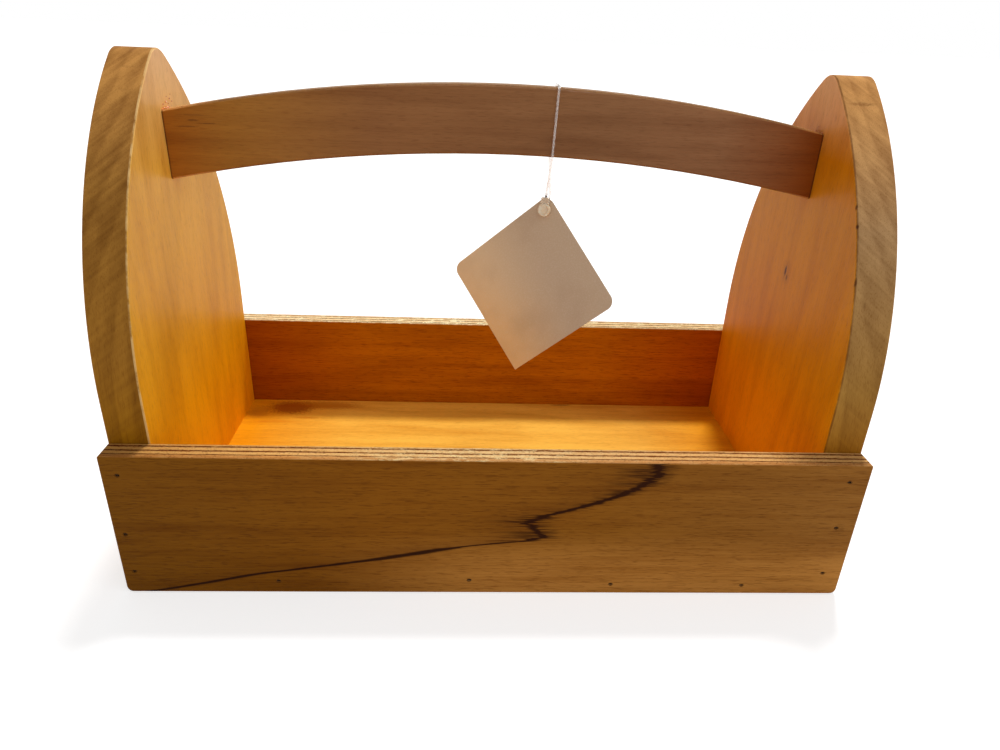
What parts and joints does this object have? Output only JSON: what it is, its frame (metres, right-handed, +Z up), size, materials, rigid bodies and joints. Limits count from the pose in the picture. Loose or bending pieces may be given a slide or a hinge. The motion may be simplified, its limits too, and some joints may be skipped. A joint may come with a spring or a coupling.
{
  "type": "tool tote",
  "caption": "Wooden open tool tote with arched end boards, low plywood sides, a curved carrying handle and a card tag on a clear loop.",
  "frame": {"origin": "on the ground under the middle of the tote", "axes": "+X along the tote, to the right seen from the front, +Y from front to back, +Z up"},
  "size_m": [0.3556, 0.1796, 0.242],
  "materials": {
    "pine_board": "oiled solid board with an open flat grain, satin",
    "plywood": "stained plywood with a satin face and pale, striped edges",
    "nail_steel": "dull steel, darkened by the finish",
    "tag_card": "smooth coated card",
    "clear_nylon": "clear moulded nylon, glossy"
  },
  "bodies": {
    "tote": {"left_end_panel": "pine_board", "right_end_panel": "pine_board", "front_panel": "plywood", "back_panel": "plywood", "floor_board": "pine_board", "handle": "plywood", "front_left_brads": "nail_steel", "front_right_brads": "nail_steel", "front_floor_brads": "nail_steel", "back_left_brads": "nail_steel", "back_right_brads": "nail_steel", "back_floor_brads": "nail_steel", "left_floor_nails": "nail_steel", "right_floor_nails": "nail_steel", "left_handle_nails": "nail_steel", "right_handle_nails": "nail_steel"},
    "loop": {"tag_loop": "clear_nylon", "loop_lock": "clear_nylon"},
    "tag": {"hang_tag": "tag_card"}
  },
  "joints": [
    {"name": "loop_slide", "type": "hinge", "parent": "tote", "child": "loop", "pos_m": [0, 0, -0.5298], "axis": [0, 1, 0], "range_deg": [-8.8, 4.95]},
    {"name": "tag_swing", "type": "hinge", "parent": "loop", "child": "tag", "pos_m": [0.025, 0, 0.1728], "axis": [-0.4516, -0.8602, 0.2368], "range_deg": [-90, 84]}
  ]
}
